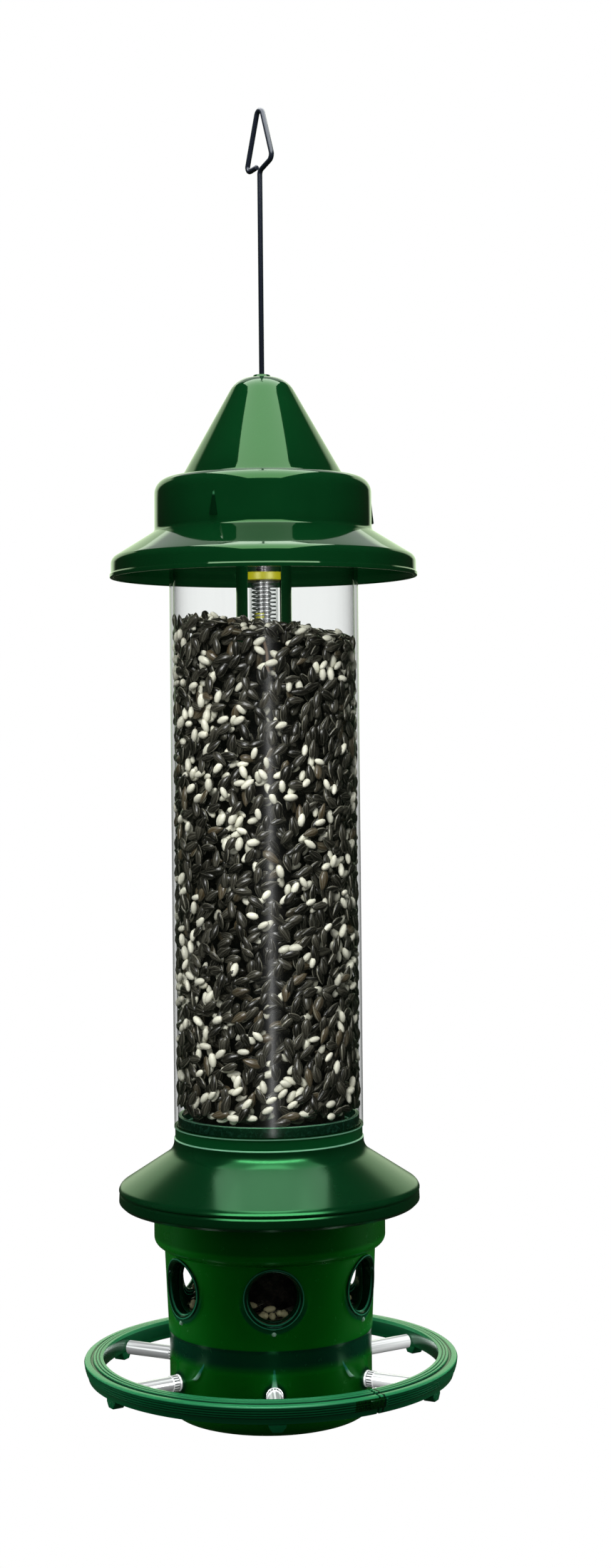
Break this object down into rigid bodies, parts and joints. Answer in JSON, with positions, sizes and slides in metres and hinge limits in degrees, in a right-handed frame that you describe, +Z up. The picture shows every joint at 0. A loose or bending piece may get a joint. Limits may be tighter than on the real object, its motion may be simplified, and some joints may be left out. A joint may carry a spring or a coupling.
{
  "type": "hanging tube bird feeder",
  "caption": "Hanging tube seed feeder with a conical lid, clear seed tube, flared baffle, spring-hung shroud that closes the feed ports, perches and a perch ring.",
  "frame": {"origin": "bearing point at the inner top of the hanger eye, on the axis of the hanger wire; the feeder hangs below it", "axes": "+Z up along the hanger wire and the feeder's axis, -Y through the front feed port and its perch, +X to the right seen from the front"},
  "size_m": [0.2004, 0.2004, 0.7003],
  "materials": {
    "green_plastic": "glossy dark green moulding",
    "shroud_green": "glossy green enamel",
    "ring_green": "glossy mid green moulding",
    "clear_tube": "clear polycarbonate",
    "guard_clear": "clear plastic",
    "wire_black": "gloss black coating",
    "steel": "plain steel",
    "chrome": "polished",
    "yellow_plastic": "yellow moulding",
    "dark_screw": "dark screw",
    "bush_grey": "grey acetal",
    "bush_black": "black grommet",
    "seed": "dark sunflower seed with cream safflower seed"
  },
  "bodies": {
    "feeder": {"hanger_wire": "wire_black", "hanger_eye": "wire_black", "hanger_ferrule": "steel", "hanger_block": "green_plastic", "column_sleeve": "green_plastic", "column_screws": "steel", "screw_plate": "green_plastic", "spring_tube": "guard_clear", "tube_seat": "green_plastic", "seed_tube": "clear_tube", "tube_rim": "green_plastic", "baffle": "green_plastic", "feed_cup": "green_plastic", "seed_diverter": "green_plastic", "cup_bush": "bush_grey", "seed_fill": "seed"},
    "adjuster": {"adjuster_screw": "dark_screw", "adjuster_wheel": "yellow_plastic", "setting_mark": "yellow_plastic"},
    "setting": {"setting_nut": "yellow_plastic", "spring": "steel"},
    "lid_slider": {"wire_bush": "bush_black"},
    "lid": {"lid_shell": "green_plastic", "lid_lock_ring": "green_plastic"},
    "shroud_frame": {"shroud": "shroud_green", "port_bezels": "green_plastic", "perch_rods": "chrome", "perch_collars": "chrome", "perch_nuts": "steel", "ring_half_left": "ring_green", "ring_half_right": "ring_green", "ring_brackets": "ring_green", "ring_clasps": "ring_green", "pull_rod": "steel", "rod_head": "steel", "rod_stop": "steel", "rod_spacer": "green_plastic", "base_plate": "green_plastic", "base_washer": "steel", "base_nut": "steel"}
  },
  "joints": [
    {"name": "shroud_drop", "type": "slide", "parent": "feeder", "child": "shroud_frame", "axis": [0, 0, -1], "range_m": [0, 0.03], "stiffness_N_per_m": 97, "springref_m": -0.062, "deforming": ["spring"]},
    {"name": "lid_lift", "type": "slide", "parent": "feeder", "child": "lid_slider", "axis": [0, 0, 1], "range_m": [0, 0.1]},
    {"name": "lid_turn", "type": "hinge", "parent": "lid_slider", "child": "lid", "pos_m": [0, 0, 0], "axis": [0, 0, 1], "range_deg": [0, 30]},
    {"name": "adjuster_turn", "type": "hinge", "parent": "feeder", "child": "adjuster", "pos_m": [0, 0, 0], "axis": [0, 0, -1], "range_deg": [0, 1440]},
    {"name": "nut_slide", "type": "slide", "parent": "feeder", "child": "setting", "axis": [0, 0, 1], "range_m": [0, 0.0068]}
  ],
  "couplings": [
    {"joint": "adjuster_turn", "follows": "nut_slide", "rad_per_m": 3696}
  ]
}
